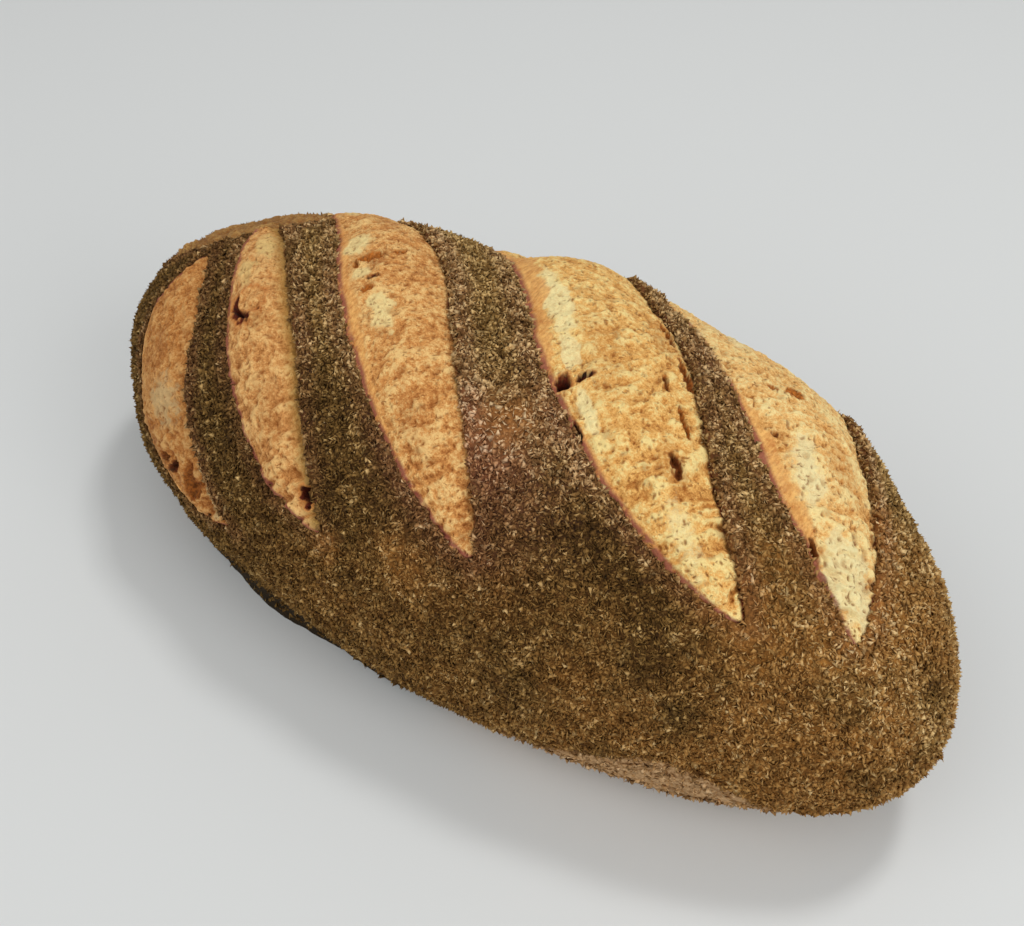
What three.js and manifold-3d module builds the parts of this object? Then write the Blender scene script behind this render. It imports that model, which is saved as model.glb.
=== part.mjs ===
// A long sourdough loaf (batard) with five diagonal slashes that burst open in the oven.
// Millimetres. +X runs along the loaf to its fuller, nearer end, +Y across it to the far side
// and +Z up. The loaf stands on its flat base, with the origin at the middle of that base.

import * as THREE from 'three';
import Module from 'manifold-3d';
import { mergeVertices } from 'three/addons/utils/BufferGeometryUtils.js';

// Driving dimensions of the smooth loaf
const LENGTH = 300;
const WIDTH = 142;
const HEIGHT = 105;
const WIDEST_LEVEL = 36; // height of the widest level
const LOWER_BELLY = 53; // depth of the curve under that level, before the flat base cuts it
const BOW = 5; // how far the middle of the loaf lies to the far side
const SWAY = 6.5; // S-curve of the centre line
const WIDTH_TAPER = 0.11; // wider toward +X
const NEAR_TAPER = 0.04; // and more so on the near side
const HEIGHT_TAPER = 0.04;
const END_ROUNDNESS = 0.52; // 0.5 makes elliptic ends
const LEFT_END = { width: 2.4, height: 3.2 }; // larger is blunter
const RIGHT_END = { width: 1.7, height: 2.3 };
const SECTION_ROUNDNESS = 0.93; // 1 makes an elliptic section, less is squarer

// Driving dimensions of the crust
const LUMP_HEIGHT = 0.6; // broad unevenness of the crust
const GRAIN_HEIGHT = 0.35; // coarse grain of the bran coat
const BRAN_FLAKES = 60; // the largest flakes, which stand out of the coat
const FLAKE_SIZE = { min: 1.5, max: 2.9 }; // half the length of a flake
const SEED = 20260;

// The slashes are drawn on an unrolled chart of the crust: x along the loaf, and the angle around
// it (0 at the far side, 90 at the top, 180 at the near side) times this radius.
const CHART_RADIUS = 62;

// A slash runs from its far tip to its near tip, each given as x and the angle, which is larger at
// the near tip. Each of its edges bows out from the line between the tips: reach is how far, toward
// +X where positive, peak is where along the slash that is, and sharp shapes the ends. The bloom is
// the bared crumb that fills it: it rises by bulge in its middle and lies below the crust by drop
// at its left edge and by dip at its right edge.
const SLASHES = [
  {
    far: [-101, 100], near: [-44, 173],
    left: { reach: -42, peak: 0.58, sharp: 1.7 }, right: { reach: -8, peak: 0.78, sharp: 3.5 },
    bulge: 2.2, drop: 1.2, dip: 2.4,
  },
  {
    far: [-101, 82], near: [-9, 158],
    left: { reach: -13, peak: 0.63, sharp: 2.06 }, right: { reach: 10.3, peak: 0.38, sharp: 1.12 },
    bulge: 2.6, drop: 1.2, dip: 2.6,
  },
  {
    far: [-104, 35], near: [37, 146],
    left: { reach: -14.8, peak: 0.44, sharp: 1 }, right: { reach: 12, peak: 0.55, sharp: 1.3 },
    bulge: 3.2, drop: 1.3, dip: 2.8,
  },
  {
    far: [-64, 16], near: [102, 131],
    left: { reach: -19.7, peak: 0.55, sharp: 1.52 }, right: { reach: 16.2, peak: 0.4, sharp: 1.05 },
    bulge: 4.4, drop: 1.5, dip: 3,
  },
  {
    far: [16, 10], near: [124, 116],
    left: { reach: -24.4, peak: 0.22, sharp: 1.57 }, right: { reach: 27, peak: 0.43, sharp: 1.05 },
    bulge: 2.6, drop: 1.4, dip: 2.8,
  },
  // a bare strip on the far shoulder, behind the tips of the first two slashes
  {
    far: [-78, 70], near: [-124, 108],
    left: { reach: -22, peak: 0.5, sharp: 1 }, right: { reach: 3.5, peak: 0.5, sharp: 1 },
    bulge: 1, drop: 0.9, dip: 1.4,
  },
];
const POCKET_DEPTH = 6; // each slash is cut this deep, and its bloom is rooted deeper
const BLOOM_ROOT = 9;
const BLOOM_OVERLAP = 0.8; // how far a bloom runs under the crust on each side
const TIP_MARGIN = { pocket: 0.02, bloom: 0.005 }; // share of a slash left off at each tip
const BLOOM_GRAIN = 0.45;

// Torn holes in the blooms: the slash, the place along it and across it (0 left, 1 right), the
// half length and half width, and the depth
const TEARS = [
  { slash: 0, along: 0.75, across: 0.28, size: [3, 2.2], depth: 3.5 },
  { slash: 0, along: 0.86, across: 0.72, size: [3.4, 1.8], depth: 3 },
  { slash: 1, along: 0.42, across: 0.42, size: [5, 3.2], depth: 4 },
  { slash: 1, along: 0.91, across: 0.8, size: [2.4, 1.6], depth: 3 },
  { slash: 2, along: 0.39, across: 0.26, size: [4.5, 2.6], depth: 3 },
  { slash: 2, along: 0.58, across: 0.38, size: [6.5, 2.4], depth: 3 },
  { slash: 3, along: 0.64, across: 0.1, size: [2.6, 1.8], depth: 4 },
  { slash: 3, along: 0.59, across: 0.9, size: [4, 2.2], depth: 4 },
  { slash: 3, along: 0.74, across: 0.9, size: [6, 2.4], depth: 4 },
  { slash: 4, along: 0.85, across: 0.12, size: [4, 1.8], depth: 3 },
];

// Wide swellings and dents of the far shoulder, and of the near side, where a hollow runs along
// the loaf above its foot: x, the angle around the loaf, how wide, how high and how far stretched
const DENTS = [
  { x: -62, angle: 57, radius: 14, height: 1 },
  { x: -21, angle: 50, radius: 13, height: -4 },
  { x: 9, angle: 50, radius: 15, height: 3.4 },
  { x: 44, angle: 47, radius: 13, height: -0.9 },
  { x: 90, angle: 44, radius: 13, height: 2.2 },
  { x: 116, angle: 40, radius: 11, height: -2.4 },
  { x: -44, angle: 200, radius: 15, height: -3, stretch: 3.4 },
  { x: -44, angle: 224, radius: 9, height: 6.5, stretch: 5.6 },
];

// How finely the solids are faceted
const COLUMNS = 60;
const FINE_ROWS = { from: -12, to: 228, step: 6.5 }; // degrees, the part that shows
const COARSE_ROW_STEP = 18;
const BLOOM_STEPS = { along: 22, across: 6 };

const wasm = await Module();
wasm.setup();

const clamp = THREE.MathUtils.clamp;
const radians = THREE.MathUtils.degToRad;
const signedPower = (value, power) => Math.sign(value) * Math.abs(value) ** power;
const random = seededRandom(SEED);

// Mulberry32, so that each build makes the same loaf
function seededRandom(seed) {
  let state = seed;
  return () => {
    state = (state + 0x6d2b79f5) | 0;
    let t = Math.imul(state ^ (state >>> 15), 1 | state);
    t = (t + Math.imul(t ^ (t >>> 7), 61 | t)) ^ t;
    return ((t ^ (t >>> 14)) >>> 0) / 4294967296;
  };
}

// The point of the smooth loaf at x and at an angle around it
function hullPoint(x, angle) {
  const s = clamp(x / (LENGTH / 2), -1, 1);
  const end = s < 0 ? LEFT_END : RIGHT_END;
  const fullness = (blunt) => Math.max(1 - Math.abs(s) ** blunt, 0) ** END_ROUNDNESS;
  const cosine = signedPower(Math.cos(radians(angle)), SECTION_ROUNDNESS);
  const sine = signedPower(Math.sin(radians(angle)), SECTION_ROUNDNESS);
  const side = cosine < 0 ? NEAR_TAPER : -NEAR_TAPER;
  const halfWidth = (WIDTH / 2) * (1 + (WIDTH_TAPER + side) * s) * fullness(end.width);
  const centre = (1 - s * s) * (BOW + 2.6 * SWAY * s);
  const upper = (HEIGHT - WIDEST_LEVEL) * (1 + HEIGHT_TAPER * s);
  const reach = (sine > 0 ? upper : LOWER_BELLY) * fullness(end.height);
  return new THREE.Vector3(x, centre + halfWidth * cosine, WIDEST_LEVEL + reach * sine);
}

function hullNormal(x, angle) {
  const edge = LENGTH / 2 - 0.5;
  const middle = clamp(x, -edge, edge);
  const alongX = hullPoint(middle + 0.4, angle).sub(hullPoint(middle - 0.4, angle));
  const around = hullPoint(middle, angle + 0.4).sub(hullPoint(middle, angle - 0.4));
  return around.cross(alongX).normalize();
}

// Broad, smooth unevenness: a sum of waves over the chart, and the dents
const WAVES = Array.from({ length: 9 }, () => ({
  x: (random() - 0.5) * 0.34,
  y: (random() - 0.5) * 0.34,
  phase: random() * 2 * Math.PI,
}));

function lumps(x, angle) {
  const y = CHART_RADIUS * radians(angle);
  const waves = WAVES.reduce((sum, w) => sum + Math.sin(w.x * x + w.y * y + w.phase), 0);
  const dents = DENTS.reduce((sum, dent) => {
    const along = (x - dent.x) / (dent.stretch ?? 1);
    const across = CHART_RADIUS * radians(angle - dent.angle);
    return sum + dent.height * Math.exp(-(along ** 2 + across ** 2) / dent.radius ** 2);
  }, 0);
  return (LUMP_HEIGHT * endFade(x) * waves) / Math.sqrt(WAVES.length) + dents;
}

// Relief dies away toward the two end points
function endFade(x) {
  return 1 - (Math.abs(x) / (LENGTH / 2)) ** 8;
}

// The point at a height over the uneven crust
function crustPoint(x, angle, height) {
  const normal = hullNormal(x, angle);
  return hullPoint(x, angle).addScaledVector(normal, lumps(x, angle) + height);
}

function geometryFrom(points, triangles) {
  const geometry = new THREE.BufferGeometry().setFromPoints(points);
  geometry.setIndex(triangles);
  return geometry;
}

function solidOf(geometry) {
  const bare = geometry.clone();
  bare.deleteAttribute('normal');
  bare.deleteAttribute('uv');
  const merged = mergeVertices(bare, 1e-5);
  return new wasm.Manifold(
    new wasm.Mesh({
      numProp: 3,
      vertProperties: new Float32Array(merged.attributes.position.array),
      triVerts: new Uint32Array(merged.index.array),
    }),
  );
}

// The whole crust as a closed skin: rings of points from tip to tip
function crustSkin() {
  const angles = [];
  for (let angle = FINE_ROWS.from; angle < FINE_ROWS.to; angle += FINE_ROWS.step) angles.push(angle);
  for (let angle = FINE_ROWS.to; angle < 360 + FINE_ROWS.from; angle += COARSE_ROW_STEP) angles.push(angle);
  const rows = angles.length;
  const points = [];
  for (let i = 1; i < COLUMNS; i += 1) {
    const x = (-LENGTH / 2) * Math.cos((Math.PI * i) / COLUMNS);
    const grain = GRAIN_HEIGHT * endFade(x);
    for (const angle of angles) points.push(crustPoint(x, angle, (random() - 0.5) * 2 * grain));
  }
  const leftTip = points.push(hullPoint(-LENGTH / 2, 0)) - 1;
  const rightTip = points.push(hullPoint(LENGTH / 2, 0)) - 1;
  const triangles = [];
  for (let j = 0; j < rows; j += 1) {
    const next = (j + 1) % rows;
    for (let i = 0; i < COLUMNS - 2; i += 1) {
      const [a, b, c, d] = [i * rows + j, i * rows + next, (i + 1) * rows + next, (i + 1) * rows + j];
      triangles.push(a, b, c, a, c, d);
    }
    const last = (COLUMNS - 2) * rows;
    triangles.push(leftTip, next, j, rightTip, last + j, last + next);
  }
  return solidOf(geometryFrom(points, triangles));
}

// How far an edge of a slash lies off the line between its tips
function edgeReach(edge, along) {
  const rise = (along / edge.peak) ** edge.peak;
  const fall = ((1 - along) / (1 - edge.peak)) ** (1 - edge.peak);
  return edge.reach * (rise * fall) ** edge.sharp;
}

// A slash on the chart: its far tip, the run to its near tip and the unit step to its right
function slashFrame(slash) {
  const start = new THREE.Vector2(slash.far[0], CHART_RADIUS * radians(slash.far[1]));
  const end = new THREE.Vector2(slash.near[0], CHART_RADIUS * radians(slash.near[1]));
  const run = end.sub(start);
  return { start, run, sideways: new THREE.Vector2(run.y, -run.x).normalize() };
}

// A place in a slash as x and angle: along from tip to tip, across from its left to its right
// edge, and wider than the slash by margin on both sides
function slashPlace(slash, along, across, margin = 0) {
  const { start, run, sideways } = slashFrame(slash);
  const left = edgeReach(slash.left, along) - margin;
  const right = edgeReach(slash.right, along) + margin;
  const offset = THREE.MathUtils.lerp(left, right, across);
  const place = start.addScaledVector(run, along).addScaledVector(sideways, offset);
  return [place.x, THREE.MathUtils.radToDeg(place.y / CHART_RADIUS)];
}

function isInSlash(slash, x, angle, clearance) {
  const { start, run, sideways } = slashFrame(slash);
  const place = new THREE.Vector2(x, CHART_RADIUS * radians(angle)).sub(start);
  const along = clamp(place.dot(run) / run.lengthSq(), 0.001, 0.999);
  const beyond = place.clone().addScaledVector(run, -along).addScaledVector(sideways, -place.dot(sideways));
  const offset = place.dot(sideways);
  const left = edgeReach(slash.left, along) - clearance;
  const right = edgeReach(slash.right, along) + clearance;
  return offset > left && offset < right && beyond.length() < clearance;
}

// A closed slab over a slash, between an upper and a lower height over the crust
function slashSlab(slash, margin, tipMargin, upper, lower) {
  const { along: stepsAlong, across: stepsAcross } = BLOOM_STEPS;
  const perRow = stepsAcross + 1;
  const layer = (stepsAlong + 1) * perRow;
  const points = [];
  for (const height of [upper, lower]) {
    for (let i = 0; i <= stepsAlong; i += 1) {
      const share = 0.5 - 0.5 * Math.cos((Math.PI * i) / stepsAlong);
      const along = THREE.MathUtils.lerp(tipMargin, 1 - tipMargin, share);
      for (let j = 0; j <= stepsAcross; j += 1) {
        const across = j / stepsAcross;
        const [x, angle] = slashPlace(slash, along, across, margin);
        points.push(crustPoint(x, angle, height(along, across)));
      }
    }
  }
  const triangles = [];
  const quad = (a, b, c, d) => triangles.push(a, b, c, a, c, d);
  for (let i = 0; i < stepsAlong; i += 1) {
    for (let j = 0; j < stepsAcross; j += 1) {
      const a = i * perRow + j;
      quad(a, a + perRow, a + perRow + 1, a + 1);
      quad(layer + a, layer + a + 1, layer + a + perRow + 1, layer + a + perRow);
    }
    const [first, last] = [i * perRow, i * perRow + stepsAcross];
    quad(first, layer + first, layer + first + perRow, first + perRow);
    quad(last, last + perRow, layer + last + perRow, layer + last);
  }
  for (let j = 0; j < stepsAcross; j += 1) {
    const end = stepsAlong * perRow + j;
    quad(j, j + 1, layer + j + 1, layer + j);
    quad(end, layer + end, layer + end + 1, end + 1);
  }
  return solidOf(geometryFrom(points, triangles));
}

const pocket = (slash) => slashSlab(slash, 0, TIP_MARGIN.pocket, () => 14, () => -POCKET_DEPTH);

// The bloom: low along the left edge, a pillow in the middle, and dipping under the right edge
function bloom(slash) {
  const top = (along, across) => {
    const pillow = Math.sin(Math.PI * across ** 0.85) * Math.sin(Math.PI * along) ** 0.5;
    const rim = THREE.MathUtils.lerp(slash.drop, slash.dip, across ** 2);
    return slash.bulge * pillow - rim + (random() - 0.5) * 2 * BLOOM_GRAIN;
  };
  return slashSlab(slash, BLOOM_OVERLAP, TIP_MARGIN.bloom, top, () => -BLOOM_ROOT);
}

// A small solid set on the loaf at x and angle, its own z axis along the normal and its own x
// axis turned by twist from the length of the loaf
function placed(geometry, x, angle, height, twist) {
  const normal = hullNormal(x, angle);
  const lengthwise = new THREE.Vector3(1, 0, 0).addScaledVector(normal, -normal.x).normalize();
  const sideways = normal.clone().cross(lengthwise);
  const turn = new THREE.Matrix4().makeBasis(lengthwise, sideways, normal);
  turn.multiply(new THREE.Matrix4().makeRotationZ(twist));
  turn.setPosition(crustPoint(x, angle, height));
  return solidOf(geometry.applyMatrix4(turn));
}

// A ragged pit in a bloom
function tear({ slash: index, along, across, size: [halfLength, halfWidth], depth }) {
  const slash = SLASHES[index];
  const [x, angle] = slashPlace(slash, along, across);
  const cone = new THREE.ConeGeometry(1.4, 2, 7).rotateX(-Math.PI / 2).scale(halfLength, halfWidth, depth);
  const run = CHART_RADIUS * radians(slash.near[1] - slash.far[1]);
  return placed(cone, x, angle, 0.2, Math.atan2(run, slash.near[0] - slash.far[0]));
}

// The largest bran flakes: flat, pointed scraps half sunk in the crust
function branFlakes() {
  const flakes = [];
  while (flakes.length < BRAN_FLAKES) {
    const x = (random() - 0.5) * (LENGTH - 24);
    const angle = THREE.MathUtils.lerp(-8, 200, random());
    if (SLASHES.some((slash) => isInSlash(slash, x, angle, FLAKE_SIZE.max))) continue;
    const size = THREE.MathUtils.lerp(FLAKE_SIZE.min, FLAKE_SIZE.max, random());
    const flake = new THREE.OctahedronGeometry(1, 0).scale(size, size * 0.6, 0.8);
    flakes.push(placed(flake, x, angle, 0.1, random() * Math.PI));
  }
  return flakes;
}

function flatBase(solid) {
  const above = new THREE.BoxGeometry(2 * LENGTH, 2 * WIDTH, 2 * HEIGHT).translate(0, 0, HEIGHT);
  return solid.intersect(solidOf(above));
}

function loafSolid() {
  let solid = flatBase(crustSkin());
  for (const slash of SLASHES) solid = solid.subtract(pocket(slash)).add(bloom(slash));
  for (const entry of TEARS) solid = solid.subtract(tear(entry));
  for (const flake of branFlakes()) solid = solid.add(flake);
  return flatBase(solid);
}

function meshGeometry(solid) {
  const { vertProperties, triVerts } = solid.getMesh();
  const geometry = new THREE.BufferGeometry();
  geometry.setAttribute('position', new THREE.BufferAttribute(new Float32Array(vertProperties), 3));
  geometry.setIndex(new THREE.BufferAttribute(new Uint32Array(triVerts), 1));
  return geometry;
}

// The origin is the middle of the base
function centred(geometry) {
  geometry.computeBoundingBox();
  const { min, max } = geometry.boundingBox;
  return geometry.translate(-(min.x + max.x) / 2, -(min.y + max.y) / 2, -min.z);
}

const crustMaterial = new THREE.MeshStandardMaterial({ color: 0x6f553a, roughness: 0.9, metalness: 0 });
const loaf = new THREE.Mesh(centred(meshGeometry(loafSolid())), crustMaterial);
loaf.name = 'loaf';

const bread = new THREE.Group();
bread.add(loaf);

export default bread;
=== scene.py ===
# %% [markdown]
# # A sourdough loaf under a coat of bran
# The real loaf is one piece of bread. Before baking it was rolled in wheat bran and slashed five
# times across the top, and in the oven each slash burst open into a pale bloom. The loaf is a
# smooth form with small detail on it, so this notebook first sets up the form as a rule, and then
# adds the crust, the blooms and the bran one after another.

# %% Load the frame
import math

import bpy
import numpy as np
from mathutils import Matrix, Vector


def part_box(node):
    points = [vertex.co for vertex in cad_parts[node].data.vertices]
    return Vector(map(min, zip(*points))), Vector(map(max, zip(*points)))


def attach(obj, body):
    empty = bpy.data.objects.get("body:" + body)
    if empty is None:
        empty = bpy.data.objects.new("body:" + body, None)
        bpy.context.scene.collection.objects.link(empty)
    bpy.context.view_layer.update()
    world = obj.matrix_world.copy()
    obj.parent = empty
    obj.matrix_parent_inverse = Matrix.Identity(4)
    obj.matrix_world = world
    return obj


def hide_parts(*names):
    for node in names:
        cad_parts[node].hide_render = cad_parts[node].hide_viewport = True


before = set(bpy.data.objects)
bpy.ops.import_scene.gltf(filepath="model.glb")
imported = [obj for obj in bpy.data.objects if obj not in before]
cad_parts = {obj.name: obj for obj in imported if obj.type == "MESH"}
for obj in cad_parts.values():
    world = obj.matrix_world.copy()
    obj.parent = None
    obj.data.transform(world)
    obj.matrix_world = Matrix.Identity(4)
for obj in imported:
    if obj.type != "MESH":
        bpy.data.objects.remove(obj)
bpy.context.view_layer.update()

MM = 0.001
box_low, box_high = (np.array(corner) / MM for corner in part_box("loaf"))
print("box of the loaf in mm:", box_low.round(1), "to", box_high.round(1))

# %% [markdown]
# ## The smooth form
# A loaf like this has no exact shape, but a few sizes describe it well: how long, wide and high it
# is, where it is widest, how blunt its ends are and how its centre line bends. A section across it
# is a rounded oval, and the flat base cuts that oval off. Every point is then found from x along
# the loaf and an angle around it, which is also how the solid was made, so the two agree.

# %% The form as a rule
# Sizes are in mm. Tapers are shares that the right half is fuller by and the left half is slimmer by.
LENGTH = box_high[0] - box_low[0]
WIDTH = 142
HEIGHT = 105
WIDEST_LEVEL = 36
LOWER_BELLY = 53
BOW = 5
SWAY = 6.5
SWAY_SCALE = 2.6
WIDTH_TAPER = 0.11
NEAR_TAPER = 0.04
HEIGHT_TAPER = 0.04
END_ROUNDNESS = 0.52
LEFT_END = {"width": 2.4, "height": 3.2}
RIGHT_END = {"width": 1.7, "height": 2.3}
SECTION_ROUNDNESS = 0.93
CHART_RADIUS = 62
TIP_MARGIN = 0.5
NORMAL_STEP = 0.4


def signed_power(value, power):
    return np.sign(value) * np.abs(value) ** power


def hull(x, angle):
    """Points of the smooth loaf, at x in mm and at an angle in degrees around it."""
    x, angle = np.broadcast_arrays(np.asarray(x, float), np.radians(angle))
    s = np.clip(x / (LENGTH / 2), -1, 1)

    def fullness(size):
        blunt = np.where(s < 0, LEFT_END[size], RIGHT_END[size])
        return np.maximum(1 - np.abs(s) ** blunt, 0) ** END_ROUNDNESS

    cosine = signed_power(np.cos(angle), SECTION_ROUNDNESS)
    sine = signed_power(np.sin(angle), SECTION_ROUNDNESS)
    side = np.where(cosine < 0, NEAR_TAPER, -NEAR_TAPER)
    half_width = WIDTH / 2 * (1 + (WIDTH_TAPER + side) * s) * fullness("width")
    centre = (1 - s * s) * (BOW + SWAY_SCALE * SWAY * s)
    upper = (HEIGHT - WIDEST_LEVEL) * (1 + HEIGHT_TAPER * s)
    reach = np.where(sine > 0, upper, LOWER_BELLY) * fullness("height")
    return np.stack([x, centre + half_width * cosine, WIDEST_LEVEL + reach * sine], -1)


def hull_normal(x, angle):
    """The outward direction of the smooth loaf, from two points on either side."""
    middle, angle = np.clip(x, -LENGTH / 2 + TIP_MARGIN, LENGTH / 2 - TIP_MARGIN), np.asarray(angle)
    along = hull(middle + NORMAL_STEP, angle) - hull(middle - NORMAL_STEP, angle)
    around = hull(middle, angle + NORMAL_STEP) - hull(middle, angle - NORMAL_STEP)
    normal = np.cross(around, along)
    return normal / np.linalg.norm(normal, axis=-1, keepdims=True)


# %% [markdown]
# ## Unevenness
# Dough is never quite even, so broad lumps go over the form. They are a sum of a few waves whose
# directions come from a small seeded generator, the same one that the solid uses, so that lumps
# lie in the same places. Wide dents and swellings are named one by one: those of the far shoulder,
# and on the near side a hollow that runs along the loaf above the foot on which it stands. Finer
# noise comes from a table of random numbers blended smoothly: it is quick, and it is the same in
# every run.

# %% Lumps and noise
LUMP_HEIGHT = 0.6
SEED = 20260
WAVE_COUNT = 9
STEEPEST_WAVE = 0.34
NOISE_TABLE = 64
NOISE_SHIFT = 1000
DENTS = [
    {"x": -21, "angle": 50, "radius": 13, "height": -4.0},
    {"x": 9, "angle": 50, "radius": 15, "height": 3.4},
    {"x": -62, "angle": 57, "radius": 14, "height": 1.0},
    {"x": 44, "angle": 47, "radius": 13, "height": -0.9},
    {"x": 90, "angle": 44, "radius": 13, "height": 2.2},
    {"x": 116, "angle": 40, "radius": 11, "height": -2.4},
    {"x": -44, "angle": 200, "radius": 15, "height": -3, "stretch": 3.4},
    {"x": -44, "angle": 224, "radius": 9, "height": 6.5, "stretch": 5.6},
]


def mulberry(seed):
    """Random numbers from 0 to 1."""
    mask = 0xFFFFFFFF
    state = seed
    while True:
        state = (state + 0x6D2B79F5) & mask
        t = ((state ^ (state >> 15)) * (1 | state)) & mask
        t = (t + (((t ^ (t >> 7)) * (61 | t)) & mask) & mask) ^ t
        yield ((t ^ (t >> 14)) & mask) / (mask + 1)


def smooth_step(value, low, high):
    share = np.clip((value - low) / (high - low), 0, 1)
    return share * share * (3 - 2 * share)


def bell(distance, width):
    return np.exp(-((distance / width) ** 2))


def spot_share(x, angle, place):
    """1 in the middle of a spot on the crust, fading to 0 around it."""
    along = (x - place["x"]) / place.get("stretch", 1)
    across = CHART_RADIUS * np.radians(angle - place["angle"])
    return bell(np.hypot(along, across), place["radius"])


draw = mulberry(SEED)
WAVES = []
for _ in range(WAVE_COUNT):
    slope_x, slope_y = (next(draw) - 0.5) * STEEPEST_WAVE, (next(draw) - 0.5) * STEEPEST_WAVE
    WAVES.append((slope_x, slope_y, next(draw) * math.tau))


def end_fade(x):
    """1 along the loaf, falling to 0 at its two tips."""
    return 1 - (np.abs(x) / (LENGTH / 2)) ** 8


def lumps(x, angle):
    y = CHART_RADIUS * np.radians(angle)
    waves = sum(np.sin(wx * x + wy * y + phase) for wx, wy, phase in WAVES)
    height = LUMP_HEIGHT * end_fade(x) * waves / math.sqrt(len(WAVES))
    for dent in DENTS:
        height = height + dent["height"] * spot_share(x, angle, dent)
    return height


def crust_points(x, angle, height):
    """Points at a height in mm over the uneven crust."""
    lift = np.asarray(lumps(x, angle) + height)[..., None]
    return hull(x, angle) + hull_normal(x, angle) * lift


def value_noise(points, size, seed):
    """Smooth noise from -1 to 1, with bumps about size mm wide, at points in mm."""
    table = np.random.default_rng(seed).uniform(-1, 1, (NOISE_TABLE,) * 3)
    grid = points / size + NOISE_SHIFT
    cell = np.floor(grid).astype(int)
    part = grid - cell
    part = part * part * (3 - 2 * part)
    total = 0
    for corner in np.ndindex(2, 2, 2):
        weight = np.prod(np.where(corner, part, 1 - part), axis=-1)
        i, j, k = np.moveaxis((cell + corner) % NOISE_TABLE, -1, 0)
        total = total + weight * table[i, j, k]
    return total


sample_x, sample_angle = np.linspace(-LENGTH / 2, LENGTH / 2, 400), np.arange(0.0, 360, 2)
form = crust_points(*np.meshgrid(sample_x, sample_angle), 0).reshape(-1, 3)
BASE_MIDDLE = np.array([0, (form[:, 1].min() + form[:, 1].max()) / 2, 0])
print("smooth form in mm:", np.ptp(form, axis=0).round(1), "its middle at y", BASE_MIDDLE[1].round(2))

# %% [markdown]
# ## The camera
# The photograph looks down on the loaf from its near right corner, at about 43 degrees. The lens
# and the distance were found by laying the outline of the form over the outline of the loaf, and
# they are kept here as a real place beside the loaf, so other views can turn around it.

# %% Camera
CAMERA = {"turn": 39.74, "rise": 43.0, "roll": -0.56, "distance": 395.95, "lens_angle": 45.0}
CAMERA_AIM = np.array([-5.4, 16.9, 35.0])


def camera_axes(turn, rise, roll):
    turn, rise, roll = (math.radians(value) for value in (turn, rise, roll))
    back = Vector((math.sin(turn) * math.cos(rise), -math.cos(turn) * math.cos(rise), math.sin(rise)))
    right = Vector((math.cos(turn), math.sin(turn), 0))
    up = back.cross(right)
    tilted_right = right * math.cos(roll) + up * math.sin(roll)
    tilted_up = up * math.cos(roll) - right * math.sin(roll)
    return tilted_right, tilted_up, back


right, up, back = camera_axes(CAMERA["turn"], CAMERA["rise"], CAMERA["roll"])
camera = bpy.data.objects.new("camera", bpy.data.cameras.new("camera"))
bpy.context.collection.objects.link(camera)
turn = Matrix((right, up, back)).transposed().to_4x4()
aim = Vector((CAMERA_AIM - BASE_MIDDLE) * MM)
camera.matrix_world = Matrix.Translation(aim + back * CAMERA["distance"] * MM) @ turn
camera.data.angle = math.radians(CAMERA["lens_angle"])
camera.data.clip_start = 0.01
bpy.context.scene.camera = camera
print("camera at", [round(value, 3) for value in camera.location])

# %% [markdown]
# ## The slashes
# A baker's blade cuts a long, thin lens into the skin. Its two edges part in the oven, the left
# one further than the right one. On a chart of the crust, rolled out flat, each edge is a smooth
# bow between the two tips of the cut, and a slow wobble makes it ragged. Every later step asks
# these slashes where a point lies in them.

# %% Slashes on the chart
WOBBLE = 0.35
WOBBLE_SIZE = 5


class Slash:
    """One slash: its tips on the chart, its two edges, and the height of its bloom, in mm."""

    def __init__(self, name, far, near, left, right, bulge, drop, dip):
        self.name = name
        self.start = np.array([far[0], CHART_RADIUS * math.radians(far[1])])
        end = np.array([near[0], CHART_RADIUS * math.radians(near[1])])
        self.run = end - self.start
        self.length = float(np.hypot(*self.run))
        self.side = np.array([self.run[1], -self.run[0]]) / self.length
        self.edges = {"left": left, "right": right}
        self.bulge, self.drop, self.dip = bulge, drop, dip
        self.seed = sum(ord(letter) for letter in name)

    def edge(self, which, along):
        """How far an edge lies to the right of the line between the tips."""
        reach, peak, sharp = self.edges[which]
        along = np.clip(along, 0, 1)
        rise = (along / peak) ** peak * ((1 - along) / (1 - peak)) ** (1 - peak)
        walk = np.stack([along * self.length, along * 0, along * 0], -1)
        wobble = value_noise(walk, WOBBLE_SIZE, self.seed + len(which)) * smooth_step(rise, 0.1, 0.5)
        return reach * rise**sharp + WOBBLE * wobble

    def place(self, along, offset):
        """x and the angle at a share along the slash and an offset to the right."""
        along, offset = np.broadcast_arrays(along, offset)
        spot = self.start + along[..., None] * self.run + offset[..., None] * self.side
        return spot[..., 0], np.degrees(spot[..., 1] / CHART_RADIUS)

    def locate(self, x, angle):
        """The share along the slash and the offset to the right of a point on the crust."""
        spot = np.stack([x, CHART_RADIUS * np.radians(angle)], -1) - self.start
        return spot @ self.run / self.length**2, spot @ self.side


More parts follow.
